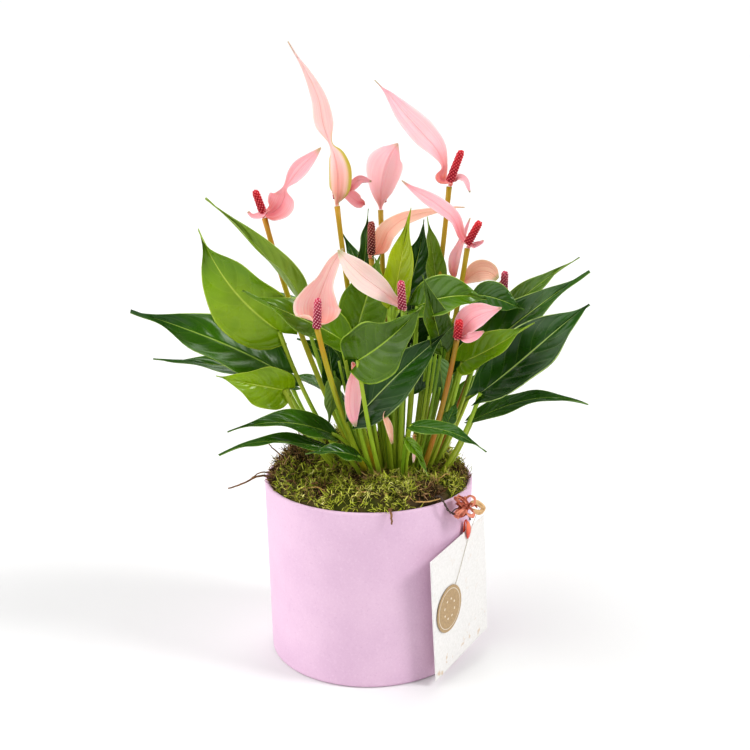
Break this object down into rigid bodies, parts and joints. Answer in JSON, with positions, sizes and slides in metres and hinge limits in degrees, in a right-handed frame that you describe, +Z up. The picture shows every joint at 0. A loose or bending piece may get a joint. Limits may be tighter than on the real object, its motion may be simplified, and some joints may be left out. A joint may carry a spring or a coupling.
{
  "type": "potted anthurium",
  "caption": "Flowering house plant with glossy heart-shaped leaves and pink spathes in a lilac pot dressed with moss, with a plain gift card tied to the rim.",
  "frame": {"origin": "middle of the pot's flat underside, on the surface it stands on", "axes": "+Z up along the pot's axis and the plant's height, -Y towards the front of the plant, +X to the right as seen from the front"},
  "size_m": [0.2933, 0.1847, 0.4062],
  "materials": {
    "pot": "matt lilac ceramic, fine grain",
    "grow_pot": "black, slightly rough",
    "soil": "dark crumbly potting soil",
    "moss": "olive green moss with brown fibres",
    "leaf_bright": "young leaf, light green, satin",
    "leaf_dark": "grown leaf, dark green, satin",
    "stem": "olive to orange flower stem, satin",
    "spathe": "pale pink, thin, satin",
    "spadix": "crimson, beaded",
    "card": "white card, matt",
    "seal": "tan paper seal, matt",
    "thread": "thin pale thread",
    "raffia": "salmon raffia",
    "peg": "orange-red stained wood",
    "wire": "dark twisted wire"
  },
  "bodies": {
    "root": {"pot": "pot", "grow_pot": "grow_pot", "potting_soil": "soil", "moss": "moss", "gift_card": "card", "card_seal": "seal", "card_thread": "thread", "peg": "peg", "tie_wire": "wire", "ribbon_bow": "raffia", "leaf_01": "leaf_bright", "leaf_02": "leaf_dark", "leaf_03": "leaf_dark", "leaf_04": "leaf_bright", "leaf_05": "leaf_dark", "leaf_06": "leaf_dark", "leaf_07": "leaf_bright", "leaf_08": "leaf_dark", "leaf_09": "leaf_dark", "leaf_10": "leaf_dark", "leaf_11": "leaf_bright", "leaf_12": "leaf_bright", "leaf_13": "leaf_dark", "leaf_14": "leaf_bright", "leaf_15": "leaf_dark", "leaf_16": "leaf_bright", "leaf_17": "leaf_dark", "leaf_18": "leaf_dark", "leaf_19": "leaf_dark", "leaf_20": "leaf_dark", "leaf_21": "leaf_bright", "leaf_22": "leaf_dark", "leaf_23": "leaf_dark", "flower_1_stem": "stem", "flower_1_spathe": "spathe", "flower_1_spadix": "spadix", "flower_2_stem": "stem", "flower_2_spathe": "spathe", "flower_2_spadix": "spadix", "flower_3_stem": "stem", "flower_3_spathe": "spathe", "flower_3_spadix": "spadix", "flower_4_stem": "stem", "flower_4_spathe": "spathe", "flower_4_spadix": "spadix", "flower_5_stem": "stem", "flower_5_spathe": "spathe", "flower_5_spadix": "spadix", "flower_6_stem": "stem", "flower_6_spathe": "spathe", "flower_6_spadix": "spadix", "flower_7_stem": "stem", "flower_7_spathe": "spathe", "flower_7_spadix": "spadix", "flower_8_stem": "stem", "flower_8_spathe": "spathe", "flower_8_spadix": "spadix", "flower_9_stem": "stem", "flower_9_spathe": "spathe", "flower_9_spadix": "spadix"}
  },
  "joints": []
}
